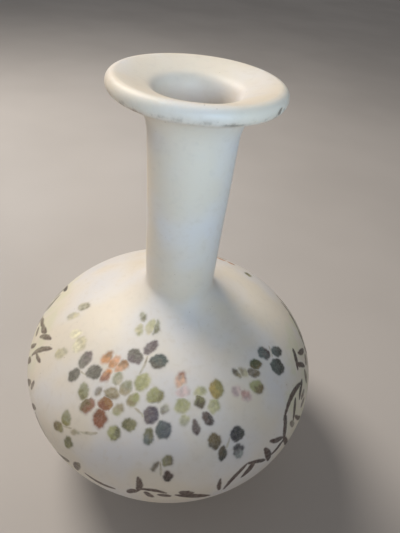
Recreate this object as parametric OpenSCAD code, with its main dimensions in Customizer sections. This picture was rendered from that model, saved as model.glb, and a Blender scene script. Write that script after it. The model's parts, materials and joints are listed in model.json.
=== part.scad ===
// Bottle vase: a round, slightly flattened belly on a foot ring, a tall slender neck and a
// wide saucer lip. The wall is thrown in five sections that are luted together edge to
// edge. Leaf sprays and a waist border of scrolls lie on the belly in fired enamel, each
// colour a thin layer of its own, and much of the pattern repeats after half a turn.

/* [Vase] */
// Height of the whole vase
height = 260; // [235:1:290]
// Diameter of the belly at its widest
belly_d = 190; // [176:1:210]
// Height of the belly's widest point above the table
belly_z = 72.5; // [68:0.5:78]
// Rise from the widest point to where the belly's upper curve would close
shoulder_rise = 61; // [56:1:66]
// Thickness of the wall
wall = 4; // [3:0.5:5]

/* [Neck and lip] */
// Diameter of the neck where it leaves the shoulder
neck_foot_d = 40; // [36:1:46]
// Diameter of the neck just under the lip
neck_top_d = 44.4; // [40:0.2:48]
// Diameter of the lip
lip_d = 82; // [76:1:92]
// Thickness of the lip's rounded edge
lip_edge = 8.4; // [6:0.2:10]
// Height over which the neck opens into the lip
lip_flare = 28; // [24:1:34]

/* [Foot] */
// Height of the foot ring
foot_h = 8; // [6:0.5:10]
// Width of the foot ring's wall
foot_w = 7; // [5:0.5:9]

/* [Enamel] */
// Thickness of the fired enamel
enamel = 0.2; // [0.15:0.05:0.4]

/* [Hidden] */

$fn = 96;
belly_r = belly_d / 2;
neck_foot_r = neck_foot_d / 2;
neck_top_r = neck_top_d / 2;
lip_r = lip_d / 2;
belly_drop = belly_z + 1;                 // the lower curve would close 1 mm under the table
neck_z = belly_z + shoulder_rise + 11;    // the flare has become the neck 11 mm over the crown
lip_z = height - lip_flare;
floor_z = foot_h + wall;
flare_a = 61;                             // angle on the belly's curve where the flare starts
belly_steps = 15;
flare_steps = 10;
lip_steps = 12;
throat_steps = 8;
blade_steps = 8;
foot_a = -asin((belly_z - foot_h) / belly_drop);
floor_a = -asin((belly_z - floor_z) / (belly_drop - wall));
foot_r = belly_r * cos(foot_a);
foot_taper = 1;                           // the ring's wall thins by this on each side
foot_round = 1.5;                         // rounding of the ring's lower edges
round_steps = 6;
pull = 0.6;                               // how firmly a curve follows its end directions
saucer_fall = 3.9;                        // how far the lip's top falls before the throat
throat_turn = 5.8;                        // width over which it then turns down
throat_drop = 7.5;                        // height over which the turn becomes upright
bore_depth = 16;                          // depth under the rim where the bore is straight
ease = 0.3;                               // how firmly the saucer follows its end directions
saucer_start = 0.5;                       // the saucer's slope at the edge and at the turn, as
saucer_end = 1.15;                        // shares of its mean slope
turn_pull = 0.7;                          // how far the turn keeps on in the saucer's direction

// ---- Outline of the wall: [radius, height] points, drawn from the foot to the lip ----

function belly(a, inset = 0) =
    [(belly_r - inset) * cos(a),
     belly_z + ((a < 0 ? belly_drop : shoulder_rise) - inset) * sin(a)];

function belly_tangent(a, inset = 0) =
    [-(belly_r - inset) * sin(a), (shoulder_rise - inset) * cos(a)];

function belly_arc(a0, a1, inset = 0) =
    [for (i = [0:belly_steps]) belly(a0 + (a1 - a0) * i / belly_steps, inset)];

function bezier(p, t) =
    pow(1 - t, 3) * p[0] + 3 * t * pow(1 - t, 2) * p[1]
    + 3 * t * t * (1 - t) * p[2] + pow(t, 3) * p[3];

function bezier_line(p, steps) = [for (i = [1:steps]) bezier(p, i / steps)];

// The shoulder's flare leaves the belly and joins the neck along their own directions
neck_run = [neck_top_r - neck_foot_r, lip_z - neck_z];
function flare(inset = 0) =
    let (start = belly(flare_a, inset),
         end = [neck_foot_r - inset, neck_z],
         tangent = belly_tangent(flare_a, inset),
         meet = start + tangent * cross(end - start, neck_run) / cross(tangent, neck_run))
    bezier_line([start, start + pull * (meet - start), end + pull * (meet - end), end],
                flare_steps);

lip_under = [lip_r - lip_edge / 2, height - lip_edge];
lip_over = [lip_r - lip_edge / 2, height];
throat = [neck_top_r - wall, lip_z];

function underside() =
    let (rise = pull * (lip_under.y - lip_z),
         run = pull * (lip_under.x - neck_top_r))
    bezier_line([[neck_top_r, lip_z], [neck_top_r, lip_z + rise],
                 lip_under - [run, 0], lip_under], lip_steps);

function lip_round() =
    [for (i = [1:lip_steps]) let (a = -90 + 180 * i / lip_steps)
        [lip_r - lip_edge / 2 * (1 - cos(a)), height - lip_edge / 2 * (1 - sin(a))]];

function throat_curve() =
    let (turn = [throat.x + throat_turn, height - saucer_fall],
         fall = lip_over - turn,
         steep = [1, saucer_end * fall.y / fall.x],
         bore = [throat.x, height - bore_depth])
    concat(bezier_line([lip_over, lip_over - ease * [fall.x, saucer_start * fall.y],
                        turn + ease * fall.x * steep, turn], throat_steps),
           bezier_line([turn, turn - turn_pull * throat_turn * steep,
                        bore + [0, throat_drop], bore], throat_steps),
           [throat]);

function reverse(p) = [for (i = [len(p) - 1:-1:0]) p[i]];

lower_line = belly_arc(foot_a, 0);
upper_line = belly_arc(0, flare_a);
outer_line = concat(lower_line, [for (i = [1:belly_steps]) upper_line[i]], flare());

// ---- The five luted sections ----

module turned(points) rotate_extrude() polygon(points);

// A quarter of a circle about a point, turning clockwise from angle a0
function quarter(x, z, a0) =
    [for (i = [0:round_steps]) let (a = a0 - 90 * i / round_steps)
        [x, z] + foot_round * [cos(a), sin(a)]];

module foot_ring() {
    outside = foot_r - foot_taper;
    inside = foot_r - foot_w;
    color("ivory")
    turned(concat([[foot_r, foot_h]],
                  quarter(outside - foot_round, foot_round, 0),
                  quarter(inside + foot_taper + foot_round, foot_round, -90),
                  [[inside, foot_h]]));
}

module lower_body()
    color("white")
    turned(concat(lower_line, belly_arc(0, floor_a, wall), [[0, floor_z], [0, foot_h]]));

module shoulder()
    color("whitesmoke")
    turned(concat(upper_line, flare(), reverse(flare(wall)), belly_arc(flare_a, 0, wall)));

module neck()
    color("ghostwhite")
    turned([[neck_foot_r, neck_z], [neck_top_r, lip_z],
            [neck_top_r - wall, lip_z], [neck_foot_r - wall, neck_z]]);

module lip()
    color("seashell")
    turned(concat([[neck_top_r, lip_z]], underside(), lip_round(), throat_curve()));

// ---- Places on the belly: azimuth from the front, and rise along the wall from the waist ----

// Running length along a line of points
function lengths(p) =
    [for (i = 0, s = 0; i < len(p);
          s = s + (i + 1 < len(p) ? norm(p[i + 1] - p[i]) : 0), i = i + 1) s];

line_s = lengths(outer_line);
waist_s = line_s[belly_steps];
radius_at = [for (i = [0:len(line_s) - 1]) [line_s[i] - waist_s, outer_line[i].x]];
height_at = [for (i = [0:len(line_s) - 1]) [line_s[i] - waist_s, outer_line[i].y]];

// Turns a shape's X to the right along the wall, its Y up the wall and its Z out of it
module on_wall(azimuth, rise, turn) {
    slope = atan2(lookup(rise - 1, radius_at) - lookup(rise + 1, radius_at),
                  lookup(rise + 1, height_at) - lookup(rise - 1, height_at));
    rotate([0, 0, azimuth - 90])
    translate([lookup(rise, radius_at), 0, lookup(rise, height_at)])
    rotate([0, -slope, 0])
    rotate([90, 0, 90])
    rotate([0, 0, -turn])
    children();
}

// The thin layer that enamel fills, from the foot to the neck
function raised(p, d) =
    [for (i = [0:len(p) - 1])
        let (step = p[min(i + 1, len(p) - 1)] - p[max(i - 1, 0)])
        p[i] + d * [step.y, -step.x] / norm(step)];

module enamel_layer() turned(concat(raised(outer_line, enamel), reverse(outer_line)));

// ---- Brush marks ----

// A leaf or stroke about its own middle, pointing up: tip sharpens its ends, lean moves its
// widest place towards the far end, and bow draws both ends back to the left
module blade(length, width, tip, lean, bow) {
    mid = [for (i = [0:blade_steps]) let (t = i / blade_steps)
        [-bow * pow(2 * t - 1, 2), (t - 0.5) * length]];
    half = [for (i = [0:blade_steps])
        width / 2 * pow(abs(sin(180 * pow(i / blade_steps, lean))), tip)];
    polygon(concat([mid[0]],
                   [for (i = [1:blade_steps - 1]) mid[i] + [half[i], 0]],
                   [mid[blade_steps]],
                   [for (i = [blade_steps - 1:-1:1]) mid[i] - [half[i], 0]]));
}

// Rows are [azimuth, rise, length, width, turn, bow]. They repeat after half a turn, except
// those in once, which the painter put on one side only
module marks(rows, tip, lean, once = [])
    intersection() {
        enamel_layer();
        for (pass = [0, 1], row = pass == 0 ? concat(rows, once) : rows) {
            reach = 1 + row[2] * row[2] / belly_r;    // the wall curves away under a long mark
            on_wall(row[0] + 180 * pass, row[1], row[4])
            translate([0, 0, -reach])
            linear_extrude(2 * reach)
            blade(row[2], row[3], tip, lean, len(row) > 5 ? row[5] : 0);
        }
    }

// Three-leaved sprigs of slate grey at the neck, on the left and on the right
module slate_leaves()
    color("darkslategray")
    marks([[-16, 79, 9.4, 4.8, 25], [-23, 71, 9.2, 7.2, -65], [-8, 72.5, 10, 7.2, 75]],
          0.62, 1.1,
          [[-46, 54.5, 10, 6.5, -12], [-38, 53, 9.6, 7.2, 44], [-45, 44.5, 8.2, 6, 8],
           [59.5, 59, 9.4, 6.8, -50], [67, 52.5, 9.2, 5.8, -60], [60.5, 47.5, 11.2, 9, -40]]);

// Rounder leaves of ink blue and plum in the middle and lower right
module ink_leaves()
    color("midnightblue")
    marks([[-6, 45, 8.4, 7.6, -15], [-0.5, 38.5, 8.4, 8, -30], [-5.5, 34.5, 8, 4.6, -5],
           [27.5, 31, 8.4, 7.6, 10], [27, 21.5, 8.4, 5.6, -8]],
          0.55, 1);

module olive_leaves()
    color("darkolivegreen")
    marks([[-18, 31.5, 7.4, 6.2, 10], [-13.5, 38, 7.4, 5.8, 60], [-20, 54.5, 8, 5.6, 25],
           [-15, 50, 7, 4.8, 35], [-25, 49, 8.6, 5, 80], [-19.5, 43, 5.6, 4.4, 20],
           [-37.5, 24, 7.8, 6.2, -20], [-39.5, 16, 7.8, 5.4, 60], [-33.5, 12, 7.6, 5.2, 5],
           [-32, 21, 5.6, 1.8, 60], [18.5, 31, 8.2, 6.2, -10], [21, 23.5, 7.4, 4, 12],
           [-36.5, 93, 5.8, 2.8, -55], [-17.5, 91, 8.6, 2, -6, 0.8]],
          0.6, 1,
          [[-36.5, 42, 8.6, 5.8, -35], [-25.5, 57, 6.6, 4.2, -10], [50, 58.5, 7.6, 5.2, -55],
           [46, 55.5, 8, 4.2, -50], [130.5, 57, 6.4, 4.4, -50]]);

module lime_leaves()
    color("yellowgreen")
    marks([[-13.5, 60, 8.8, 7, 15], [-6, 54.5, 8.6, 7, 60], [6.5, 50.5, 8, 6.4, 70],
           [7.5, 43.5, 4.6, 4.2, 0], [15.5, 57, 6, 3.6, 80], [20.5, 48.5, 7.2, 5.4, 50],
           [-23.5, 90, 7.6, 4.4, -8], [-31.5, 86, 6.4, 3.6, -25]],
          0.6, 1,
          [[23.5, 56.5, 9.6, 7.6, 20], [43.5, 48.5, 9, 6.6, -40], [41, 59, 5.6, 3.8, -30]]);

module straw_leaves()
    color("khaki")
    marks([], 0.6, 1,
          [[-80.5, 64.5, 8, 5.2, 30], [-76.5, 57.5, 8, 4, 20], [-63, 57, 6.8, 5, 40],
           [-55.5, 56.5, 9, 7.6, -30], [-59, 44.5, 8.4, 5.2, 30]]);

module umber_leaves()
    color("saddlebrown")
    marks([[14.5, 52, 6, 5, -20], [17, 43, 7.8, 4.4, -35], [12, 39.5, 7.6, 3.4, -8],
           [2, 23, 6, 4.8, 50], [-2, 19, 5.2, 2, 25], [2.5, 13.5, 6.4, 4.4, -8],
           [-1, 48.5, 4.4, 3.6, 30]],
          0.6, 1,
          [[37, 60.5, 6, 2.4, -20], [-30.5, 46.5, 4.4, 2.8, 10]]);

module rust_petals()
    color("sienna")
    marks([[-25.5, 43, 8, 6, 70], [-25, 35, 8.8, 6.8, -20]],
          0.55, 1,
          [[-32, 37.5, 8.8, 6, 35], [-31.5, 55.5, 6.6, 3.4, 10], [-37, 63, 7.2, 4.4, 5],
           [145.5, 56, 5.2, 3.4, 75], [153, 57.5, 8.4, 3.2, 88]]);

module amber_petals()
    color("peru")
    marks([], 0.6, 1, [[-32, 63.5, 7, 4.2, 10], [-27, 63.5, 7.6, 4.2, 25]]);

module pink_petals()
    color("rosybrown")
    marks([[6, 64, 7.4, 4.2, 25], [7, 57.5, 6, 4.2, 80]],
          0.6, 1,
          [[33, 52, 5.2, 3.8, -60], [36.5, 47.5, 6.6, 4, -40]]);

// Fine stems between the leaves
module stem_lines()
    color("tan")
    marks([[-15.5, 68, 7.4, 0.9, 4, 0.6], [0, 18, 4, 0.9, -8, 0.3],
           [-36, 20, 3, 0.8, 70, 0.3], [-27, 25, 6.6, 1.2, 65, 0.5],
           [-10.5, 45, 3.6, 0.8, -62, 0.4], [23.5, 28, 2.4, 0.7, 30, 0.2]],
          0.4, 1,
          [[-42.5, 48.5, 3.4, 0.8, 78, 0.3], [64, 56, 2.6, 0.7, 40, 0.2]]);

// Rococo scrolls round the waist, low in front and high at the sides
module border_scrolls()
    color("maroon")
    marks([[-6.5, 4, 9.8, 2.6, 172, -1.2], [-8.5, -2, 6.6, 3.2, -128, 0.8],
           [-2, 2, 11.6, 1.6, 93, -1.8], [12, -6, 18, 4.4, 114, -1],
           [20, 1, 8, 1.4, 175, 0.6], [25, 4, 17.6, 2.2, 36, -2.8],
           [31, 5, 7.8, 3.6, 42, 0.6], [34.5, 8, 10.4, 1.8, 118, -0.6],
           [39.5, 7.5, 10.2, 3.6, 162, -0.6], [44.5, 6, 8.2, 2.2, 74, 0.6],
           [44, 13, 8.2, 2.4, 118, 0.6], [50.5, 1, 13.4, 2.6, -28, -1.2],
           [49, 14.5, 14, 2.8, 16, -1], [59, 28, 27, 2.6, 84, -5],
           [65, 23, 11.6, 2.4, 62, -0.6], [57, 19, 9, 2, 36, -0.6],
           [59, 9, 9, 1.8, 141, 0.6], [74, 36.5, 8.8, 2.8, 50, 0.4],
           [74.5, 30.5, 9, 2.4, 140, -0.6], [81.5, 31, 8.4, 2.8, 128, 0.6],
           [-70, 30.5, 19.4, 2.4, 30, -1.6], [-74.5, 35.5, 11, 2.4, 44, -0.8],
           [-67.5, 27, 5.4, 1.8, 72, 0.4], [-80.5, 32.5, 9.6, 3.2, 62, 1],
           [-87.5, 27.5, 9.6, 3, 58, -1], [-77.5, 20, 8, 2.2, 36, 0.8],
           [-74, 13, 9, 3.6, 38, -0.8], [-65.5, 8.5, 8, 3.6, 44, 0.8],
           [-57, 3, 8.6, 3.2, 40, -0.8], [-50.5, -3.5, 13, 2.6, 118, 2],
           [-36.5, -8, 10, 3.6, 62, 1.4], [-29.5, -3, 7.6, 4, 18, -0.8],
           [-20.5, -7.5, 15, 2.4, 96, 1.8]],
          0.6, 1.15);

// Beads in and around the scrolls
module border_beads()
    color("darkred")
    marks([[-3, -4, 2.8, 2.6, 30], [2, -3, 2.6, 2.2, 0], [9, -0.5, 3.6, 3.2, 20],
           [66, 18, 2.6, 2.2, 0], [64.5, 13.5, 2.6, 2.2, 0], [54, 12, 3, 2.6, 30],
           [74, 21, 4.4, 3.6, -40], [81.5, 23.5, 3.4, 3, 0],
           [-91.5, 20.5, 4, 3.4, 30], [-83.5, 24, 3.2, 2.8, 0], [-61, 14.5, 2.8, 2.4, 0]],
          0.5, 1);

foot_ring();
lower_body();
shoulder();
neck();
lip();
slate_leaves();
ink_leaves();
olive_leaves();
lime_leaves();
straw_leaves();
umber_leaves();
rust_petals();
amber_petals();
pink_petals();
stem_lines();
border_scrolls();
border_beads();
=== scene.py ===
"""Looks of a bottle vase: a smooth glazed wall in five turned sections, and brushed enamel on it.

Each wall section is turned again on a smooth curve through its CAD node's rings. Each enamel
node's marks keep their CAD outlines, and become brushed, slightly domed paint with soft edges.
"""

import json
import math

import bmesh
import bpy
import numpy as np
from mathutils import Matrix, Vector, noise
from mathutils.geometry import delaunay_2d_cdt


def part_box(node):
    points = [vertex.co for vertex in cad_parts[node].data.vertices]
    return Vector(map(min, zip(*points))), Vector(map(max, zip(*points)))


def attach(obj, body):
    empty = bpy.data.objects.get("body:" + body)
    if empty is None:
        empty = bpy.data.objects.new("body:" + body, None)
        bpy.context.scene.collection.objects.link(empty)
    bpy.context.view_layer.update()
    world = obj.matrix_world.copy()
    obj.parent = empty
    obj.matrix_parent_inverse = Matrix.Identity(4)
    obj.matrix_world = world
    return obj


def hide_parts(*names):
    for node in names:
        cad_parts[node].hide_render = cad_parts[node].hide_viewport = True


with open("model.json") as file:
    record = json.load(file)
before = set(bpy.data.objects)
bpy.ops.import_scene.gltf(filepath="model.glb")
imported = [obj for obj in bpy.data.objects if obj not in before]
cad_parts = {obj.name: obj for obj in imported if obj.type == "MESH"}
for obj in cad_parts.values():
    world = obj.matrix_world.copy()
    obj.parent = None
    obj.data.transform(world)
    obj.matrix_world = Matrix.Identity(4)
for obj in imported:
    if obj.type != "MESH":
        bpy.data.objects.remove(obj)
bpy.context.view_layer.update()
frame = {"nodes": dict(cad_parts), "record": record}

MM = 0.001
WALL_NODES = ["foot_ring", "lower_body", "shoulder", "neck", "lip"]
SEGMENTS = 360
RING_STEP = 2.2 * MM       # longest step along the wall's outline
SHARP = math.radians(30)   # a larger turn in the outline is a real edge
SAME = 0.02 * MM           # corners nearer than this are one

waist_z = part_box("lower_body")[1].z
top_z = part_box("lip")[1].z
lip_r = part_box("lip")[1].x
foot_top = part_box("foot_ring")[1].z
foot_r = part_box("foot_ring")[1].x


# ---------------------------------------------------------------- hand-made unevenness

# How far the thrown wall swells: size in mm, waves round the vase, mm of height a wave, phase
SWELLS = [(0.10, 2, 170, 0.4), (0.07, 3, 95, 2.1), (0.05, 5, 61, 4.0), (0.012, 1, 9, 1.2)]

# Chips out of the lip's edge: azimuth in degrees, mm along the edge, mm up it, mm deep
CHIPS = [(60, 3.0, 1.7, 0.8), (66, 1.4, 0.9, 0.35), (-128, 1.6, 1.0, 0.4)]
CHIP_DROP = 4.8 * MM       # how far under the top the chips are
RING_DROP = 6.4 * MM       # how far under the top the darker band round the lip's edge lies
THROAT_DROP = 20 * MM, 35 * MM    # the throat's shading fades in between these depths
THROAT_R = 26 * MM, 17 * MM       # and between these distances from the axis


def swell(azimuth, r, z):
    """Radial unevenness of the wall in metres, fading out towards the axis."""
    total = sum(size * np.sin(waves * azimuth + 2 * math.pi * z / (pitch * MM) + phase)
                for size, waves, pitch, phase in SWELLS)
    return total * MM * np.clip(r / (15 * MM), 0, 1)


def chipped(azimuth, r, z):
    """How deep the lip's edge is chipped at a place, in metres."""
    depth = np.zeros(np.broadcast(azimuth, r, z).shape)
    for where, along, up, deep in CHIPS:
        turn = (azimuth - math.radians(where) + math.pi) % (2 * math.pi) - math.pi
        reach = ((turn * lip_r / (along * MM)) ** 2 + ((z - top_z + CHIP_DROP) / (up * MM)) ** 2
                 + ((r - lip_r) / (4 * MM)) ** 2)
        ragged = 1 + 0.35 * np.sin(turn * 190 + z * 2600)
        depth = depth + deep * MM * np.clip(1.2 - reach * ragged, 0, 1)
    return depth


def place(azimuth, r, z):
    """A point of the wall at an azimuth, which runs from the front (-Y) towards +X."""
    rho = r + swell(azimuth, r, z) - chipped(azimuth, r, z)
    return np.stack(np.broadcast_arrays(rho * np.sin(azimuth), -rho * np.cos(azimuth), z), -1)


# ---------------------------------------------------------------- outlines of the CAD wall

def section(node):
    """Half-section of a turned node: (radius, height) corners in order, anticlockwise."""
    mesh = frame["nodes"][node].data
    co = np.array([v.co for v in mesh.vertices])
    flat = np.stack([np.hypot(co[:, 0], co[:, 1]), co[:, 2]], 1)
    ring = np.full(len(flat), -1)
    corners = []
    while (ring < 0).any():
        seed = flat[ring < 0][0]
        near = (ring < 0) & (np.abs(flat - seed).max(1) < SAME)
        ring[near] = len(corners)
        corners.append(flat[near].mean(0))
    links = {k: set() for k in range(len(corners))}
    for edge in mesh.edges:
        a, b = ring[edge.vertices[0]], ring[edge.vertices[1]]
        if a != b:
            links[a].add(b)
            links[b].add(a)
    ends = [k for k in links if len(links[k]) == 1]
    walk = [ends[0] if ends else 0]
    while True:
        onward = [k for k in links[walk[-1]] if k not in walk]
        if not onward:
            break
        walk.append(onward[0])
    points = [corners[k] for k in walk]
    if ends:
        points = [np.array([0, points[0][1]])] + points + [np.array([0, points[-1][1]])]
    after = points[1:] + points[:1]
    area = sum(p[0] * q[1] - q[0] * p[1] for p, q in zip(points, after))
    return points if area > 0 else points[::-1]


def turn_between(p, q, r):
    """Angle by which the outline p-q-r turns at q."""
    a, b = q - p, r - q
    return abs(math.atan2(a[0] * b[1] - a[1] * b[0], a @ b))


def runs_of(node):
    """The outline's smooth runs between real edges, each a list of corners."""
    points = section(node)
    count = len(points)
    edges = [i for i in range(count)
             if points[i][0] < SAME
             or turn_between(points[i - 1], points[i], points[(i + 1) % count]) > SHARP]
    runs = []
    for start, end in zip(edges, edges[1:] + [edges[0] + count]):
        run = [points[i % count] for i in range(start, end + 1)]
        if run[0][0] > SAME or run[-1][0] > SAME:
            runs.append({"node": node, "corners": run})
    return runs


def follows(first, second):
    """Whether a run in one node goes on smoothly as a run in another."""
    p, q = first["corners"], second["corners"]
    return (first["node"] != second["node"] and np.abs(p[-1] - q[0]).max() < SAME
            and turn_between(p[-2], p[-1], q[1]) < SHARP)


def smooth_chain(chain):
    """Gives each run of a chain its points on one smooth curve, with a point beyond each end."""
    knots = [chain[0]["corners"][0]]
    for run in chain:
        run["first"] = len(knots) - 1
        knots += run["corners"][1:]
        run["last"] = len(knots) - 1
    knots = np.array(knots)
    gaps = np.linalg.norm(np.diff(knots, axis=0), axis=1)
    chords = np.diff(knots, axis=0) / gaps[:, None]
    slopes = np.empty_like(knots)
    slopes[0], slopes[-1] = chords[0], chords[-1]
    for i in range(1, len(gaps)):
        before, after = gaps[i - 1], gaps[i]
        if max(before, after) > 4 * min(before, after):
            slopes[i] = chords[i] if after > before else chords[i - 1]
        else:
            slopes[i] = (chords[i - 1] * after + chords[i] * before) / (before + after)
    points = [knots[0]]
    at_knot = [0]
    for i, gap in enumerate(gaps):
        count = max(2, math.ceil(gap / RING_STEP))
        for t in np.arange(1, count + 1) / count:
            points.append((2 * t**3 - 3 * t**2 + 1) * knots[i] + (3 * t**2 - 2 * t**3) * knots[i + 1]
                          + gap * ((t**3 - 2 * t**2 + t) * slopes[i] + (t**3 - t**2) * slopes[i + 1]))
        at_knot.append(len(points) - 1)
    points = np.array(points)
    padded = np.concatenate([2 * points[:1] - points[1:2], points, 2 * points[-1:] - points[-2:-1]])
    for run in chain:
        first, last = at_knot[run["first"]], at_knot[run["last"]]
        run["points"] = padded[first:last + 3]


all_runs = [run for node in WALL_NODES for run in runs_of(node)]
for start in all_runs:
    if any(follows(run, start) for run in all_runs):
        continue
    chain = [start]
    while True:
        onward = [run for run in all_runs if follows(chain[-1], run)]
        if not onward:
            break
        chain.append(onward[0])
    smooth_chain(chain)


# ---------------------------------------------------------------- turned wall sections

def shade_by(mesh, normals):
    """Smooth shading with the given normal at each face corner."""
    mesh.polygons.foreach_set("use_smooth", [True] * len(mesh.polygons))
    mesh.normals_split_custom_set(normals.tolist())


def add_piece(name, mesh, nodes, material):
    """Puts a finished mesh in the scene as a piece that stands for CAD nodes."""
    piece = bpy.data.objects.new(name, mesh)
    bpy.context.scene.collection.objects.link(piece)
    mesh.materials.append(material)
    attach(piece, "root")
    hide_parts(*nodes)
    return piece


def turned_mesh(node):
    """One closed mesh of a wall section, with normals that run on over the seams."""
    azimuth = np.arange(SEGMENTS) * 2 * math.pi / SEGMENTS
    rings, faces, normals = [], [], []
    runs = [run for run in all_runs if run["node"] == node]
    steps = [len(run["points"]) - 3 for run in runs]
    closed = all(np.abs(run["corners"][0][0]) > SAME for run in runs)
    total = sum(steps) + (0 if closed else 1)
    number = 0
    for run in runs:
        r, z = run["points"][:, 0], run["points"][:, 1]
        grid = place(azimuth[None, :], np.maximum(r, 0)[:, None], z[:, None])
        along = grid[2:] - grid[:-2]
        if r[1] < SAME:
            along[0] = grid[2] - grid[1]
        if r[-2] < SAME:
            along[-1] = grid[-2] - grid[-3]
        around = np.roll(grid, -1, 1)[1:-1] - np.roll(grid, 1, 1)[1:-1]
        normal = np.cross(around, along)
        for k in (0, -1):
            if np.linalg.norm(around[k]) < SAME:
                normal[k] = [0, 0, 1 if run["points"][1, 0] > run["points"][-2, 0] else -1]
        normal /= np.maximum(np.linalg.norm(normal, axis=-1, keepdims=True), 1e-12)
        for k in range(len(grid) - 3):
            rings.append(grid[k + 1])
            low, high = number * SEGMENTS, (number + 1) % total * SEGMENTS
            number += 1
            for i in range(SEGMENTS):
                j = (i + 1) % SEGMENTS
                if r[k + 1] < SAME:
                    faces.append((low, high + j, high + i))
                    normals += [normal[k, i], normal[k + 1, j], normal[k + 1, i]]
                elif r[k + 2] < SAME:
                    faces.append((low + i, low + j, high))
                    normals += [normal[k, i], normal[k, j], normal[k + 1, i]]
                else:
                    faces.append((low + i, low + j, high + j, high + i))
                    normals += [normal[k, i], normal[k, j], normal[k + 1, j], normal[k + 1, i]]
        if run is runs[-1] and not closed:
            rings.append(grid[-2])
    mesh = bpy.data.meshes.new(node + "_smooth")
    mesh.from_pydata(np.concatenate(rings).tolist(), [], faces)
    shade_by(mesh, np.array(normals))
    return drop_loose(mesh)


def drop_loose(mesh):
    """Removes the spare points of rings that shrink to the axis."""
    used = np.zeros(len(mesh.vertices), bool)
    corners = np.empty(len(mesh.loops), int)
    mesh.loops.foreach_get("vertex_index", corners)
    used[corners] = True
    if used.all():
        return mesh
    renumber = np.cumsum(used) - 1
    co = np.array([v.co for v in mesh.vertices])[used]
    faces = [[int(renumber[v]) for v in face.vertices] for face in mesh.polygons]
    normals = np.array([n.vector for n in mesh.corner_normals])
    clean = bpy.data.meshes.new(mesh.name)
    clean.from_pydata(co.tolist(), [], faces)
    shade_by(clean, normals)
    return clean


# ---------------------------------------------------------------- the belly as a painter sees it

def belly_line():
    """The belly's outside as rise from the waist, radius, height and outward normal."""
    outside = []
    for node in ("lower_body", "shoulder"):
        runs = [run for run in all_runs if run["node"] == node]
        outer = max(runs, key=lambda run: max(p[0] + p[1] for p in run["corners"]))
        outside.append(outer["points"][1:-1])
    points = np.concatenate([outside[0][:-1], outside[1]])
    rise = np.concatenate([[0], np.cumsum(np.linalg.norm(np.diff(points, axis=0), axis=1))])
    rise -= np.interp(waist_z, points[:, 1], rise)
    tangent = np.gradient(points, rise, axis=0)
    tangent /= np.linalg.norm(tangent, axis=1, keepdims=True)
    return rise, points[:, 0], points[:, 1], tangent[:, 1], -tangent[:, 0]


RISE, RADIUS, HEIGHT, NORMAL_R, NORMAL_Z = belly_line()


def on_belly(azimuth, rise, lift):
    """Points at places on the belly, lifted off it."""
    r, z = np.interp(rise, RISE, RADIUS), np.interp(rise, RISE, HEIGHT)
    out_r, out_z = np.interp(rise, RISE, NORMAL_R), np.interp(rise, RISE, NORMAL_Z)
    out = np.stack([out_r * np.sin(azimuth), -out_r * np.cos(azimuth), out_z], -1)
    return place(azimuth, r, z) + out * np.asarray(lift)[..., None]


def islands(node):
    """Each mark of an enamel node as the (azimuth, rise) points round its upper face."""
    bm = bmesh.new()
    bm.from_mesh(frame["nodes"][node].data)
    bmesh.ops.remove_doubles(bm, verts=bm.verts, dist=0.001 * MM)
    high = {}
    for v in bm.verts:
        rise = np.interp(v.co.z, HEIGHT, RISE)
        off_r = math.hypot(v.co.x, v.co.y) - np.interp(v.co.z, HEIGHT, RADIUS)
        high[v] = off_r * np.interp(rise, RISE, NORMAL_R) > 0.09 * MM
    bm.faces.index_update()
    is_top = [all(high[v] for v in face.verts) for face in bm.faces]
    onward = {}
    for face in bm.faces:
        if not is_top[face.index]:
            continue
        for loop in face.loops:
            others = [f for f in loop.edge.link_faces if f is not face and is_top[f.index]]
            if not others:
                onward[loop.vert] = loop.link_loop_next.vert
    marks = []
    while onward:
        vert = next(iter(onward))
        rim = []
        while vert in onward:
            rim.append(vert.co.copy())
            vert = onward.pop(vert)
        if len(rim) > 5:
            azimuth = np.unwrap([math.atan2(p.x, -p.y) for p in rim])
            rise = np.interp([p.z for p in rim], HEIGHT, RISE)
            marks.append((azimuth, rise))
    bm.free()
    return marks


# ---------------------------------------------------------------- pigments

# Fired colours, as sRGB 0 to 255
PIGMENTS = {
    "slate": (104, 102, 92), "stone": (122, 120, 110), "sea": (84, 96, 93), "heather": (110, 98, 102),
    "pitch": (58, 62, 58), "damson": (78, 62, 64), "teal": (88, 102, 102),
    "plum": (88, 82, 98), "steel": (88, 96, 104), "navy": (52, 52, 62), "fog": (150, 160, 160),
    "moss": (112, 112, 76), "olive": (136, 134, 92), "sage": (158, 160, 132), "khaki": (164, 152, 116),
    "bronze": (120, 104, 66), "forest": (74, 84, 46), "bark": (92, 82, 62), "mud": (118, 108, 92),
    "lime": (172, 174, 122), "lemon": (196, 196, 148), "ochre": (180, 160, 92), "reed": (146, 142, 88),
    # cream is partly pale enamel and partly a painted highlight on the leaf at azimuth -63
    "straw": (206, 200, 164), "cream": (240, 236, 206), "sand": (190, 186, 160),
    "rust": (136, 88, 62), "brick": (150, 96, 72), "gold": (156, 112, 62),
    "amber": (214, 150, 92), "peach": (222, 176, 140), "rose": (196, 150, 142),
    "blush": (222, 200, 198), "mauve": (186, 160, 164),
    "oxblood": (66, 38, 36), "soot": (46, 36, 36), "umber": (88, 66, 58),
}

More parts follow.
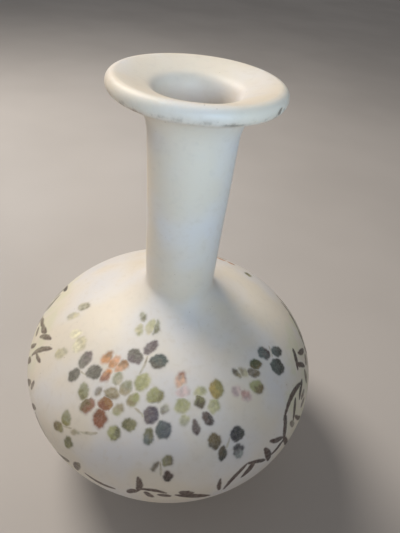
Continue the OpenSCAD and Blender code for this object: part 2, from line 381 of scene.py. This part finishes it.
# Marks whose colour is known: azimuth, rise in mm, two pigments and the clock angle (0 is up,
# 90 right) at which the second one lies; the last number is how much of the glaze is covered
TONES = {
    "slate_leaves": [
        (-16, 79, "heather", "heather", 0, 0.95), (-23, 71, "slate", "heather", 180, 0.95),
        (-8, 72.5, "sea", "slate", 180, 1), (-46, 54.5, "stone", "heather", 20, 0.9),
        (-38, 53, "slate", "stone", 250, 0.95), (-45, 44.5, "slate", "stone", 90, 0.95),
        (59.5, 59, "teal", "damson", 120, 0.95), (67, 52.5, "pitch", "teal", 330, 0.95),
        (60.5, 47.5, "pitch", "sea", 300, 1)],
    "ink_leaves": [
        (-6, 45, "plum", "heather", 270, 0.95), (-0.5, 38.5, "steel", "teal", 270, 1),
        (-5.5, 34.5, "moss", "teal", 180, 0.9), (27.5, 31, "navy", "pitch", 90, 1),
        (27, 21.5, "navy", "fog", 180, 0.9)],
    "olive_leaves": [
        (-36.5, 42, "sage", "olive", 180, 0.95), (-18, 31.5, "lime", "moss", 90, 0.95),
        (-13.5, 38, "olive", "moss", 270, 0.95), (-20, 54.5, "sage", "khaki", 180, 0.85),
        (-25.5, 57, "sage", "sand", 90, 0.85), (-15, 50, "lime", "khaki", 230, 0.95),
        (-25, 49, "khaki", "bronze", 180, 0.85), (-19.5, 43, "khaki", "lime", 180, 0.85),
        (-37.5, 24, "sage", "reed", 180, 0.95), (-39.5, 16, "bronze", "reed", 90, 0.9),
        (-33.5, 12, "moss", "olive", 180, 0.95), (-32, 21, "khaki", "sage", 90, 0.75),
        (18.5, 31, "bronze", "bark", 180, 1), (21, 23.5, "bark", "pitch", 150, 1),
        (50, 58.5, "forest", "bronze", 200, 1), (-49.5, 57, "olive", "moss", 90, 0.95),
        (46, 55.5, "mud", "bronze", 120, 0.85),
        (-36.5, 93, "sage", "moss", 90, 0.8), (-17.5, 91, "sage", "moss", 180, 0.85)],
    "lime_leaves": [
        (-13.5, 60, "lime", "lemon", 45, 0.95), (-6, 54.5, "lime", "olive", 110, 0.95),
        (6.5, 50.5, "lime", "lemon", 180, 0.9), (7.5, 43.5, "lemon", "sage", 180, 0.8),
        (15.5, 57, "lemon", "lime", 90, 0.85), (20.5, 48.5, "lemon", "lime", 90, 0.85),
        (23.5, 56.5, "ochre", "reed", 90, 1), (43.5, 48.5, "lime", "bronze", 160, 0.95),
        (41, 59, "straw", "khaki", 0, 0.8), (-23.5, 90, "lemon", "straw", 180, 0.8),
        (-31.5, 86, "straw", "lime", 90, 0.8)],
    "straw_leaves": [
        (-80.5, 64.5, "sand", "moss", 60, 0.8), (-76.5, 57.5, "straw", "sand", 240, 0.75),
        # the mark at azimuth -63 is cream as bright as its glint: pale enamel with a painted highlight
        (-63, 57, "cream", "cream", 0, 0.95), (-55.5, 56.5, "straw", "cream", 200, 0.75),
        (-59, 44.5, "straw", "sand", 0, 0.8)],
    "umber_leaves": [
        (14.5, 52, "olive", "bark", 180, 1), (17, 43, "umber", "soot", 120, 0.95),
        (12, 39.5, "umber", "oxblood", 200, 0.9), (2, 23, "olive", "bark", 90, 0.9),
        (-2, 19, "mud", "bark", 90, 0.85), (2.5, 13.5, "oxblood", "soot", 180, 1),
        (37, 60.5, "bark", "khaki", 180, 0.9), (-30.5, 46.5, "mud", "khaki", 90, 0.8),
        (-1, 48.5, "sage", "mud", 180, 0.7)],
    "rust_petals": [
        (-32, 37.5, "bronze", "brick", 90, 0.9), (-25.5, 43, "gold", "brick", 200, 0.95),
        (-25, 35, "rust", "brick", 180, 1), (-31.5, 55.5, "brick", "amber", 0, 0.85),
        (-37, 63, "amber", "gold", 0, 0.85)],
    "amber_petals": [
        (-32, 63.5, "peach", "amber", 180, 0.9), (-27, 63.5, "peach", "gold", 0, 0.9)],
    "pink_petals": [
        (6, 64, "peach", "brick", 20, 0.7), (7, 57.5, "blush", "blush", 0, 0.7),
        (33, 52, "mauve", "blush", 90, 0.75), (36.5, 47.5, "rose", "blush", 180, 0.85)],
    "stem_lines": [(0, 18, "sand", "khaki", 0, 0.6)],
    "border_scrolls": [(0, 0, "oxblood", "umber", 90, 0.95), (65, 20, "oxblood", "soot", 90, 0.95),
                       (-80, 25, "mud", "umber", 120, 0.85), (-55, 5, "oxblood", "mud", 90, 0.85)],
    "border_beads": [(0, 0, "oxblood", "umber", 90, 0.9), (-80, 22, "umber", "mud", 90, 0.75)],
}


def linear(rgb):
    """An sRGB colour of 0 to 255 as linear values."""
    c = np.array(rgb) / 255
    return np.where(c <= 0.04045, c / 12.92, ((c + 0.055) / 1.055) ** 2.4)


def tone_of(node, azimuth, rise):
    """The colour row of the mark nearest to a place; the pattern repeats after half a turn."""
    def away(row):
        turn = (math.degrees(azimuth) - row[0] + 90) % 180 - 90
        return math.hypot(turn * RADIUS.max() / MM * math.pi / 180, rise / MM - row[1])
    return min(TONES[node], key=away)


# ---------------------------------------------------------------- brushed marks

HALO = 1.8          # mm by which thinned colour spreads past a mark's edge
GRAIN = 0.5         # mm between the points that fill a mark
SKIN = 0.02         # mm by which the thinned colour stands off the glaze
LAYER = 0.0015      # mm between the skins of one mark and the next
SUNK = -0.05        # mm at which a mark's underside lies in the glaze
CREST = 0.03        # mm by which a mark's own edge stands over the washes round it
BODY = 0.05         # mm of enamel in the middle of a mark
WASH = 0.08, 0.38   # how much the thinned colour of a black and of a white pigment covers
STAINING = {"rust_petals": 0.2, "amber_petals": 0.2, "pink_petals": 0.1}    # added to the wash
TAIL = 2.4          # mm by which a line's ends run on
RIM_STEP = 0.35     # mm between the points round a mark
WASH_STEP = 0.42    # mm between the points round its wash
LEAF_GROWN = 0.45   # mm by which a leaf's paint spreads over its CAD outline
GROWN = {"border_scrolls": 0.5, "border_beads": 0.5, "stem_lines": 0.1}    # the same, for lines
LEAF_WANDER = 2.8   # how far a leaf's edge strays, as a share of the drift in hand_drawn
LINE_WANDER = 0.8   # the same for a line's edge
FINE_HALO = 0.6     # mm of thinned colour round a line


def closed_steps(loop):
    """The step from each point of a closed line to the next."""
    return np.roll(loop, -1, 0) - loop


def even_loop(loop, gap):
    """A closed line with its corners cut twice and its points evenly spaced."""
    for _ in range(2):
        step = closed_steps(loop)
        loop = np.stack([loop + 0.25 * step, loop + 0.75 * step], 1).reshape(-1, 2)
    lengths = np.linalg.norm(closed_steps(loop), axis=1)
    along = np.concatenate([[0], np.cumsum(lengths)])
    count = max(12, round(along[-1] / gap))
    ring = np.concatenate([loop, loop[:1]])
    at = np.arange(count) * along[-1] / count
    return np.stack([np.interp(at, along, ring[:, k]) for k in (0, 1)], 1)


def outward(loop):
    """Outward normals of an anticlockwise closed line."""
    step = np.roll(loop, -1, 0) - np.roll(loop, 1, 0)
    step /= np.maximum(np.linalg.norm(step, axis=1, keepdims=True), 1e-9)
    return np.stack([step[:, 1], -step[:, 0]], 1)


def noise_at(points, scale, seed):
    """Smooth noise of about -0.5 to 0.5 whose waves are about this many mm long."""
    return np.array([noise.noise(Vector((x / scale, y / scale, seed))) for x, y in points])


def hand_drawn(loop, seed, wander):
    """The same line as a brush leaves it, a little off and a little rough."""
    drift = 0.30 * noise_at(loop, 2.6, seed) + 0.12 * noise_at(loop, 0.9, seed + 7)
    return loop + outward(loop) * (wander * drift)[:, None]


def depth_in(points, loop):
    """Distance of points from a closed line, positive inside it."""
    a, step = loop, closed_steps(loop)
    rel = points[:, None] - a[None]
    t = np.clip((rel * step).sum(-1) / np.maximum((step * step).sum(-1), 1e-12), 0, 1)
    far = np.linalg.norm(rel - t[..., None] * step, axis=-1).min(1)
    ay, by = a[None, :, 1], (a + step)[None, :, 1]
    y = points[:, None, 1]
    crosses = (ay > y) != (by > y)
    with np.errstate(divide="ignore", invalid="ignore"):
        at_x = a[None, :, 0] + (y - ay) / (by - ay) * step[None, :, 0]
    inside = (crosses & (points[:, None, 0] < at_x)).sum(1) % 2 == 1
    return np.where(inside, far, -far)


def smoothstep(low, high, x):
    """0 below low, 1 above high, eased between."""
    t = np.clip((x - low) / (high - low), 0, 1)
    return t * t * (3 - 2 * t)


def filled(loop):
    """Points and triangles that fill a closed line."""
    low, high = loop.min(0), loop.max(0)
    rows = []
    for k, y in enumerate(np.arange(low[1], high[1], GRAIN * 0.87)):
        x = np.arange(low[0] + (k % 2) * GRAIN / 2, high[0], GRAIN)
        rows.append(np.stack([x, np.full(len(x), y)], 1))
    grid = np.concatenate(rows)
    grid = grid[depth_in(grid, loop) > 0.55 * GRAIN]
    points = np.concatenate([loop, grid])
    ring = list(range(len(loop)))
    verts, _, faces, *_ = delaunay_2d_cdt([Vector(p) for p in points], [], [ring], 1, 1e-4)
    return np.array([v[:] for v in verts]), [tuple(f) for f in faces]


def brushed_mark(node, azimuth, rise, seed, order):
    """One mark as a closed skin: its points, faces and the paint's values at each point."""
    middle_az, middle_rise = azimuth.mean(), rise.mean()
    radius = np.interp(middle_rise, RISE, RADIUS)
    rim = np.stack([(azimuth - middle_az) * radius, rise - middle_rise], 1) / MM
    after = np.roll(rim, -1, 0)
    if (rim[:, 0] * after[:, 1] - rim[:, 1] * after[:, 0]).sum() < 0:
        rim = rim[::-1]
    fine = node in GROWN
    middle = rim.mean(0)
    values, vectors = np.linalg.eigh((rim - middle).T @ (rim - middle))
    axis = vectors[:, 1]
    if fine:
        reach = (rim - middle) @ axis
        rim = rim + (reach / np.abs(reach).max() * TAIL)[:, None] * axis
    rim = even_loop(rim, RIM_STEP)
    wander = LINE_WANDER if fine else LEAF_WANDER
    drawn = hand_drawn(rim + outward(rim) * GROWN.get(node, LEAF_GROWN), seed, wander)
    halo = FINE_HALO if fine else HALO
    loop = drawn + outward(drawn) * halo
    loop = loop[depth_in(loop, drawn) < -0.85 * halo]
    points, faces = filled(even_loop(loop, WASH_STEP))
    depth = depth_in(points, drawn)
    along, across = points @ axis, points @ np.array([-axis[1], axis[0]])

    row = tone_of(node, middle_az, middle_rise)
    clock = math.radians(row[4])
    lean = points @ np.array([math.sin(clock), math.cos(clock)])
    lean = lean / max(np.abs(lean).max(), 1e-6) + 0.55 * noise_at(points, 2.2, seed + 3)
    share = smoothstep(-0.35, 0.5, lean)[:, None]
    pigment = (1 - share) * linear(PIGMENTS[row[2]]) + share * linear(PIGMENTS[row[3]])
    pool = np.exp(-((depth - 0.35) / 0.3) ** 2)
    pigment = pigment * (1.0 - 0.03 * pool - 0.30 * noise_at(points, 2.4, seed + 5))[:, None]
    streak = np.array([noise.noise(Vector((u / 3.5, v / 0.45, seed))) for u, v in zip(along, across)])
    wash = smoothstep(-halo, 0.1, depth + 0.6 * noise_at(points, 2.0, seed + 11))
    soft = 0.30 if fine else 0.6 + 0.8 * pigment.mean()
    patchy = noise_at(points, 1.9, seed + 13)
    body = row[5] + (0.12 + 0.5 * (1 - row[5])) * patchy + 0.10 * streak
    thin = WASH[0] + (WASH[1] - WASH[0]) * pigment.mean() + STAINING.get(node, 0)
    cover = thin * wash + (1 - thin) * smoothstep(-soft, soft, depth + 0.15 * streak) * body
    lift = (SKIN + LAYER * (order % 16) + CREST * smoothstep(-0.6, 0.1, depth)
            + BODY * smoothstep(-0.3, 0.9, depth) * (1 + 0.2 * streak))

    az = middle_az + points[:, 0] * MM / radius
    up = middle_rise + points[:, 1] * MM
    top = on_belly(az, up, lift * MM)
    under = on_belly(az, up, np.full(len(points), SUNK * MM))
    count = len(points)
    edge = {}
    for face in faces:
        for a, b in zip(face, face[1:] + face[:1]):
            edge[(a, b)] = True
    skirt = [(b, a, a + count, b + count) for a, b in edge if (b, a) not in edge]
    lower = [tuple(v + count for v in reversed(face)) for face in faces]
    brush = np.stack([along, across, np.full(count, float(seed))], 1)
    return (np.concatenate([top, under]), list(faces) + skirt + lower,
            twice(pigment), twice(np.clip(cover, 0, 1)), twice(brush))


def twice(values):
    """Values for a skin's upper points and again for its lower ones."""
    return np.concatenate([values, values])


def shade_like_belly(mesh, verts):
    """Gives a thin skin on the belly the normals of the wall under it, except underneath."""
    radius = np.hypot(verts[:, 0], verts[:, 1])
    rise = np.interp(verts[:, 2], HEIGHT, RISE)
    out_r, out_z = np.interp(rise, RISE, NORMAL_R), np.interp(rise, RISE, NORMAL_Z)
    wall = np.stack([out_r * verts[:, 0] / radius, out_r * verts[:, 1] / radius, out_z], 1)
    own = np.array([n.vector for n in mesh.corner_normals])
    at = np.empty(len(mesh.loops), int)
    mesh.loops.foreach_get("vertex_index", at)
    facing = np.repeat([face.normal @ Vector(wall[face.vertices[0]]) for face in mesh.polygons],
                       [face.loop_total for face in mesh.polygons])
    level = (own * wall[at]).sum(1) > 0.99
    relief = np.where(level, 0.15, 0)[:, None]
    blended = (1 - relief) * wall[at] + relief * own
    normals = np.where(facing[:, None] > 0.5, blended, own)
    shade_by(mesh, normals / np.linalg.norm(normals, axis=1, keepdims=True))


def enamel_mesh(node):
    """All the marks of an enamel node in one mesh, with the paint's values on its points."""
    verts, faces, pigments, covers, brushes = [], [], [], [], []
    base = 0
    for number, (azimuth, rise) in enumerate(islands(node)):
        order = number + 5 * list(TONES).index(node)
        points, shape, pigment, cover, brush = brushed_mark(node, azimuth, rise, number + 1, order)
        verts.append(points)
        faces += [tuple(v + base for v in face) for face in shape]
        pigments.append(pigment)
        covers.append(cover)
        brushes.append(brush)
        base += len(points)
    mesh = bpy.data.meshes.new(node + "_brushed")
    verts = np.concatenate(verts)
    mesh.from_pydata(verts.tolist(), [], faces)
    mesh.polygons.foreach_set("use_smooth", [True] * len(mesh.polygons))
    shade_like_belly(mesh, verts)
    rgba = np.concatenate([np.concatenate(pigments), np.ones((base, 1))], 1)
    mesh.attributes.new("pigment", "FLOAT_COLOR", "POINT").data.foreach_set("color", rgba.ravel())
    mesh.attributes.new("cover", "FLOAT", "POINT").data.foreach_set("value", np.concatenate(covers))
    mesh.attributes.new("brush", "FLOAT_VECTOR", "POINT").data.foreach_set(
        "vector", np.concatenate(brushes).ravel())
    return mesh


# ---------------------------------------------------------------- shader helpers

def add_node(tree, kind, inputs=None, **settings):
    """Adds a shader node; inputs gives each socket a value or another node's output."""
    made = tree.nodes.new(kind)
    for key, value in settings.items():
        setattr(made, key, value)
    for name, value in (inputs or {}).items():
        if isinstance(value, bpy.types.NodeSocket):
            tree.links.new(value, made.inputs[name])
        else:
            made.inputs[name].default_value = value
    return made


def calc(tree, operation, *values):
    """A Math node's result."""
    made = add_node(tree, "ShaderNodeMath", dict(enumerate(values)), operation=operation)
    return made.outputs[0]


def between(tree, value, low, high, to_low=0.0, to_high=1.0):
    """A value's place between two limits, eased at both ends."""
    made = add_node(tree, "ShaderNodeMapRange",
                    {"Value": value, "From Min": low, "From Max": high,
                     "To Min": to_low, "To Max": to_high}, interpolation_type="SMOOTHSTEP")
    return made.outputs["Result"]


def blotches(tree, where, size, detail=3.0, rough=0.55, twist=0.0):
    """Noise whose patches are about this many metres wide."""
    made = add_node(tree, "ShaderNodeTexNoise",
                    {"Vector": where, "Scale": 1 / size, "Detail": detail, "Roughness": rough,
                     "Distortion": twist})
    return made.outputs["Fac"]


def mix(tree, share, first, second):
    """A colour between two others; each is an sRGB triple of 0 to 255 or a node's output."""
    made = add_node(tree, "ShaderNodeMix", data_type="RGBA")
    for socket, value in ((made.inputs[0], share), (made.inputs[6], first), (made.inputs[7], second)):
        if isinstance(value, bpy.types.NodeSocket):
            tree.links.new(value, socket)
        elif socket is made.inputs[0]:
            socket.default_value = value
        else:
            socket.default_value = (*linear(value), 1)
    return made.outputs[2]


def new_material(name):
    """A new material, its node tree and its shader."""
    material = bpy.data.materials.new(name)
    material.use_nodes = True
    tree = material.node_tree
    return material, tree, tree.nodes["Principled BSDF"]


# ---------------------------------------------------------------- glaze

WHITE = (234, 232, 228)         # the glaze itself
CREAM = (236, 229, 214)         # where it runs warm
BLUISH = (226, 228, 232)        # where it runs cool
GROUND = (226, 226, 200)        # the faded panels inside the scroll borders
GRIME = (112, 100, 84)
# painted grey shade under the lip's edge
LIP_SHADE_GREY = (74, 70, 66)
BARE = (214, 202, 182)          # unglazed paste under the foot
BARE_DARK = (188, 172, 148)     # its coarser grains
BARE_WORN = (136, 122, 104)     # where it is rubbed and soiled
DULL = (222, 216, 204)          # fine clouds in the glaze
SPECK = (120, 104, 88)
LIP_SHADE_BROWN = (146, 112, 90)          # painted brownish shade under the lip's edge
SHADED = (206, 204, 212)        # down in the throat
CHIPPED = (96, 80, 68)          # body under a chip in the lip, with dirt in it

PANEL_AZ = math.radians(83)     # the panels' middles lie at this azimuth and half a turn on
PANEL_Z = waist_z + 8 * MM
PANEL_HALF = 53 * MM, 34 * MM   # half the panels' width and height
PANEL_FROM = 60 * MM, 66 * MM   # the panels fade in between these distances from the axis

# Darker marks on the lip's lower edge, the first two painted shade under its overhang and the last
# grime: azimuth and half-width in degrees, mm below the top, mm tall, colour, strength
LIP_EDGE_SHADE_AND_GRIME = [(24, 12, 6.6, 0.5, LIP_SHADE_GREY, 0.45), (-36, 8, 7.2, 0.9, LIP_SHADE_BROWN, 0.5),
          (160, 18, 5.8, 0.9, GRIME, 0.45)]


def glaze_group():
    """The glaze's colour, roughness and relief over the whole wall, for every material."""
    tree = bpy.data.node_groups.new("glaze", "ShaderNodeTree")
    for name, kind in (("Color", "Color"), ("Roughness", "Float"), ("Relief", "Float")):
        tree.interface.new_socket(name, in_out="OUTPUT", socket_type="NodeSocket" + kind)
    where = add_node(tree, "ShaderNodeTexCoord").outputs["Object"]
    axes = add_node(tree, "ShaderNodeSeparateXYZ", {"Vector": where}).outputs
    radius = calc(tree, "SQRT", calc(tree, "ADD", calc(tree, "MULTIPLY", axes["X"], axes["X"]),
                                     calc(tree, "MULTIPLY", axes["Y"], axes["Y"])))

    wide = blotches(tree, where, 45 * MM, 2)
    fine = blotches(tree, where, 4 * MM, 4)
    colour = mix(tree, between(tree, wide, 0.40, 0.62), WHITE, CREAM)
    colour = mix(tree, between(tree, wide, 0.47, 0.30, 0, 0.6), colour, BLUISH)
    colour = mix(tree, between(tree, fine, 0.50, 0.75, 0, 0.35), colour, DULL)

    # Panels: across is the distance sideways from a panel's middle line
    across = calc(tree, "ADD", calc(tree, "MULTIPLY", axes["X"], math.cos(PANEL_AZ)),
                  calc(tree, "MULTIPLY", axes["Y"], math.sin(PANEL_AZ)))
    level = calc(tree, "DIVIDE", calc(tree, "SUBTRACT", axes["Z"], PANEL_Z), PANEL_HALF[1])
    across = calc(tree, "DIVIDE", across, PANEL_HALF[0])
    reach = calc(tree, "ADD", calc(tree, "MULTIPLY", across, across),
                 calc(tree, "MULTIPLY", level, level))
    on_side = between(tree, radius, PANEL_FROM[0], PANEL_FROM[1])
    faded = calc(tree, "MULTIPLY", between(tree, reach, 1.05, 0.75),
                 between(tree, blotches(tree, where, 14 * MM, 4), 0.38, 0.62, 0.1, 0.75))
    colour = mix(tree, calc(tree, "MULTIPLY", faded, on_side), colour, GROUND)

    # Small dark specks in the glaze
    cells = add_node(tree, "ShaderNodeTexVoronoi", {"Vector": where, "Scale": 1 / (5 * MM)})
    thin = between(tree, blotches(tree, where, 18 * MM, 2), 0.50, 0.62)
    spots = between(tree, cells.outputs["Distance"], 0.075, 0.035, 0, 0.55)
    colour = mix(tree, calc(tree, "MULTIPLY", spots, thin), colour, SPECK)

    # Painted shade and grime on the lip's lower edge, chips, a darker band round that edge, and grime
    # where the foot begins
    def band(height, reach_mm):
        off = calc(tree, "DIVIDE", calc(tree, "SUBTRACT", axes["Z"], height), reach_mm * MM)
        return calc(tree, "EXPONENT", calc(tree, "MULTIPLY", calc(tree, "MULTIPLY", off, off), -1.0))

    smear = blotches(tree, where, 6 * MM, 5, 0.65)
    azimuth = calc(tree, "ARCTAN2", axes["X"], calc(tree, "MULTIPLY", axes["Y"], -1.0))
    outer = between(tree, radius, lip_r - 4 * MM, lip_r - 2 * MM)
    # the first two rows paint shade under the lip's overhanging edge, the last paints grime
    for middle, half, drop, tall, tone, strength in LIP_EDGE_SHADE_AND_GRIME:
        off_az = calc(tree, "ABSOLUTE", calc(tree, "SUBTRACT", azimuth, math.radians(middle)))
        share = calc(tree, "MULTIPLY", calc(tree, "MULTIPLY", band(top_z - drop * MM, tall), outer),
                     between(tree, off_az, math.radians(half), math.radians(half) * 0.5))
        share = calc(tree, "MULTIPLY", share, between(tree, smear, 0.30, 0.58, 0.1, strength))
        colour = mix(tree, share, colour, tone)
    for middle, along, up, _ in CHIPS:
        spot = lip_r - 1.2 * MM
        at = (spot * math.sin(math.radians(middle)), -spot * math.cos(math.radians(middle)),
              top_z - CHIP_DROP)
        gap = add_node(tree, "ShaderNodeVectorMath", {0: where, 1: at}, operation="DISTANCE")
        away = calc(tree, "ADD", gap.outputs["Value"], calc(tree, "MULTIPLY", smear, 2.0 * MM))
        share = between(tree, away, (up + 1.5) * MM, (up + 0.5) * MM, 0, 0.7)
        colour = mix(tree, share, colour, CHIPPED)
    # a darker, patchy band round the lip's lower edge
    ring = calc(tree, "MULTIPLY", calc(tree, "MULTIPLY", band(top_z - RING_DROP, 1.6), outer),
                between(tree, smear, 0.48, 0.66, 0, 0.45))
    colour = mix(tree, ring, colour, GRIME)
    foot = calc(tree, "MULTIPLY", band(foot_top, 2.0), between(tree, smear, 0.40, 0.62, 0.05, 0.6))
    outside = between(tree, radius, foot_r - 4 * MM, foot_r - 1 * MM)
    colour = mix(tree, calc(tree, "MULTIPLY", foot, outside), colour, GRIME)

    inside = calc(tree, "MULTIPLY", between(tree, radius, THROAT_R[0], THROAT_R[1]),
                  between(tree, axes["Z"], top_z - THROAT_DROP[1], top_z - THROAT_DROP[0]))
    colour = mix(tree, calc(tree, "MULTIPLY", inside, 0.2), colour, SHADED)
    rough = between(tree, blotches(tree, where, 9 * MM, 4), 0.30, 0.70, 0.48, 0.60)
    relief = calc(tree, "ADD", calc(tree, "MULTIPLY", blotches(tree, where, 1.6 * MM, 2), 0.35),
                  calc(tree, "MULTIPLY", blotches(tree, where, 12 * MM, 2), 1.0))
    out = tree.nodes.new("NodeGroupOutput")
    tree.links.new(colour, out.inputs["Color"])
    tree.links.new(rough, out.inputs["Roughness"])
    tree.links.new(relief, out.inputs["Relief"])
    return tree


glaze = glaze_group()


def glazed(name, bare_below=None):
    """The wall's material; under bare_below the paste is left unglazed."""
    material, tree, shader = new_material(name)
    group = add_node(tree, "ShaderNodeGroup", node_tree=glaze)
    colour, rough = group.outputs["Color"], group.outputs["Roughness"]
    shader.inputs["Subsurface Weight"].default_value = 0.15
    shader.inputs["Subsurface Radius"].default_value = (1.0, 0.85, 0.7)
    shader.inputs["Subsurface Scale"].default_value = 1.5 * MM
    shader.inputs["Coat Roughness"].default_value = 0.4
    shader.inputs["IOR"].default_value = 1.5
    if bare_below is None:
        shader.inputs["Coat Weight"].default_value = 0.12
    else:
        where = add_node(tree, "ShaderNodeTexCoord").outputs["Object"]
        height = add_node(tree, "ShaderNodeSeparateXYZ", {"Vector": where}).outputs["Z"]
        wobble = calc(tree, "MULTIPLY", blotches(tree, where, 7 * MM, 3), 1.6 * MM)
        edge = calc(tree, "ADD", height, wobble)
        bare = between(tree, edge, bare_below + 1.0 * MM, bare_below + 0.6 * MM)
        paste = mix(tree, between(tree, blotches(tree, where, 1.1 * MM, 5, 0.7), 0.4, 0.65),
                    BARE, BARE_DARK)
        worn = blotches(tree, where, 9 * MM, 4, 0.6)
        paste = mix(tree, between(tree, worn, 0.48, 0.64, 0, 0.6), paste, BARE_WORN)
        colour = mix(tree, bare, colour, paste)
        rough = calc(tree, "ADD", rough, calc(tree, "MULTIPLY", bare, 0.4))
        shader.inputs["Coat Weight"].default_value = 0.1
    bump = add_node(tree, "ShaderNodeBump", {"Strength": 0.25, "Distance": 0.05 * MM,
                                             "Height": group.outputs["Relief"]})
    tree.links.new(colour, shader.inputs["Base Color"])
    tree.links.new(rough, shader.inputs["Roughness"])
    tree.links.new(bump.outputs["Normal"], shader.inputs["Normal"])
    return material


PALE = (226, 222, 206)          # what shows between the hairs' tracks
DEEP = (50, 44, 38)             # where the paint lies thickest


def enamelled(name):
    """Fired paint over the glaze, from the values that lie on a mark's points."""
    material, tree, shader = new_material(name)
    group = add_node(tree, "ShaderNodeGroup", node_tree=glaze)
    pigment = add_node(tree, "ShaderNodeAttribute", attribute_name="pigment").outputs["Color"]
    cover = add_node(tree, "ShaderNodeAttribute", attribute_name="cover").outputs["Fac"]
    brush = add_node(tree, "ShaderNodeAttribute", attribute_name="brush").outputs["Vector"]
    stretched = add_node(tree, "ShaderNodeVectorMath", {0: brush, 1: (0.22, 1.0, 1.0)},
                         operation="MULTIPLY").outputs[0]
    hairs = add_node(tree, "ShaderNodeTexNoise", {"Vector": stretched, "Scale": 2.6, "Detail": 3.0,
                                                  "Roughness": 0.6}).outputs["Fac"]
    where = add_node(tree, "ShaderNodeTexCoord").outputs["Object"]
    patches = blotches(tree, where, 1.5 * MM, 4, 0.6)
    worn = blotches(tree, where, 0.5 * MM, 3, 0.6)
    light = mix(tree, between(tree, hairs, 0.40, 0.72, 0, 0.20), pigment, PALE)
    dark = mix(tree, between(tree, patches, 0.50, 0.72, 0, 0.18), light, DEEP)
    thin = calc(tree, "MULTIPLY", between(tree, hairs, 0.30, 0.46, 0.80, 1.0),
                between(tree, worn, 0.24, 0.40, 0.75, 1.0))
    colour = mix(tree, calc(tree, "MULTIPLY", cover, thin), group.outputs["Color"], dark)
    rough = between(tree, patches, 0.3, 0.7, 0.46, 0.60)
    height = calc(tree, "ADD", calc(tree, "MULTIPLY", hairs, cover),
                  calc(tree, "MULTIPLY", group.outputs["Relief"], 0.3))
    bump = add_node(tree, "ShaderNodeBump", {"Strength": 0.35, "Distance": 0.08 * MM,
                                             "Height": height})
    shader.inputs["Coat Weight"].default_value = 0.1
    shader.inputs["Coat Roughness"].default_value = 0.35
    tree.links.new(colour, shader.inputs["Base Color"])
    tree.links.new(rough, shader.inputs["Roughness"])
    tree.links.new(bump.outputs["Normal"], shader.inputs["Normal"])
    return material


# ---------------------------------------------------------------- the pieces

slots = {part["node"]: part["material_slot"] for part in frame["record"]["subparts"]}
porcelain = glazed("porcelain")
biscuit = glazed("biscuit", bare_below=1.5 * MM)
for node in WALL_NODES:
    material = biscuit if slots[node] == "biscuit" else porcelain
    add_piece(node + "_turned", turned_mesh(node), [node], material)
paints = {}
for node in TONES:
    slot_name = slots[node]
    if slot_name not in paints:
        paints[slot_name] = enamelled(slot_name)
    add_piece(node + "_painted", enamel_mesh(node), [node], paints[slot_name])


# ---------------------------------------------------------------- floor, light and camera

FLOOR_HALF = 8.0                # metres
FLOOR = (204, 202, 200)
FLOOR_DARK = (196, 194, 192)    # faint, wide clouds in the floor


def stage_floor():
    """A plain pale floor at the height that the vase stands on."""
    mesh = bpy.data.meshes.new("floor")
    half = FLOOR_HALF
    mesh.from_pydata([(-half, -half, 0), (half, -half, 0), (half, half, 0), (-half, half, 0)],
                     [], [(0, 1, 2, 3)])
    floor = bpy.data.objects.new("floor", mesh)
    bpy.context.scene.collection.objects.link(floor)
    material, tree, shader = new_material("floor")
    where = add_node(tree, "ShaderNodeTexCoord").outputs["Object"]
    colour = mix(tree, between(tree, blotches(tree, where, 0.4, 3), 0.35, 0.65),
                 FLOOR, FLOOR_DARK)
    tree.links.new(colour, shader.inputs["Base Color"])
    shader.inputs["Roughness"].default_value = 0.9
    mesh.materials.append(material)


def area_light(name, at, towards, size, power, colour, spread=180):
    """A round soft light: places and size in metres, power in watts, spread in degrees."""
    light = bpy.data.lights.new(name, "AREA")
    light.spread = math.radians(spread)
    light.shape = "DISK"
    light.size = size
    light.energy = power
    light.color = colour
    lamp = bpy.data.objects.new(name, light)
    lamp.location = at
    aim = Vector(towards) - Vector(at)
    lamp.rotation_euler = aim.to_track_quat("-Z", "Y").to_euler()
    bpy.context.scene.collection.objects.link(lamp)


def photo_camera(height):
    """The camera where the photograph was taken from, in terms of the vase's height."""
    data = bpy.data.cameras.new("photo")
    data.lens = 30
    data.sensor_width = 36
    data.dof.use_dof = False
    back, raised = 0.790 * height, 1.2154 * height
    yaw, pitch, roll = math.radians(3.175), math.radians(-38.317), math.radians(7.539)
    ahead = Vector((math.cos(pitch) * math.sin(yaw), math.cos(pitch) * math.cos(yaw),
                    math.sin(pitch)))
    level = ahead.cross(Vector((0, 0, 1))).normalized()
    upright = level.cross(ahead)
    right = level * math.cos(roll) + upright * math.sin(roll)
    up = upright * math.cos(roll) - level * math.sin(roll)
    camera = bpy.data.objects.new("photo", data)
    turn = Matrix((right, up, -ahead)).transposed().to_4x4()
    camera.matrix_world = Matrix.Translation((0, -back, raised)) @ turn
    bpy.context.scene.collection.objects.link(camera)
    bpy.context.scene.camera = camera


stage_floor()
area_light("key", (-0.55, 0.45, 0.95), (0, 0, 0.12), 0.5, 9.5, (1.0, 0.90, 0.80))
area_light("fill", (-0.4, -1.3, 0.8), (0, 0, 0.14), 1.0, 1.8, (1.0, 0.90, 0.86))
area_light("near", (0.16, -0.42, 0.36), (0, 0, 0.245), 0.16, 0.095, (0.58, 0.79, 1.0), 45)
world = bpy.data.worlds.new("studio")
world.use_nodes = True
world.node_tree.nodes["Background"].inputs["Color"].default_value = (0.94, 0.90, 0.88, 1)
world.node_tree.nodes["Background"].inputs["Strength"].default_value = 0.2
bpy.context.scene.world = world
bpy.context.scene.view_settings.view_transform = "Standard"
photo_camera(top_z)
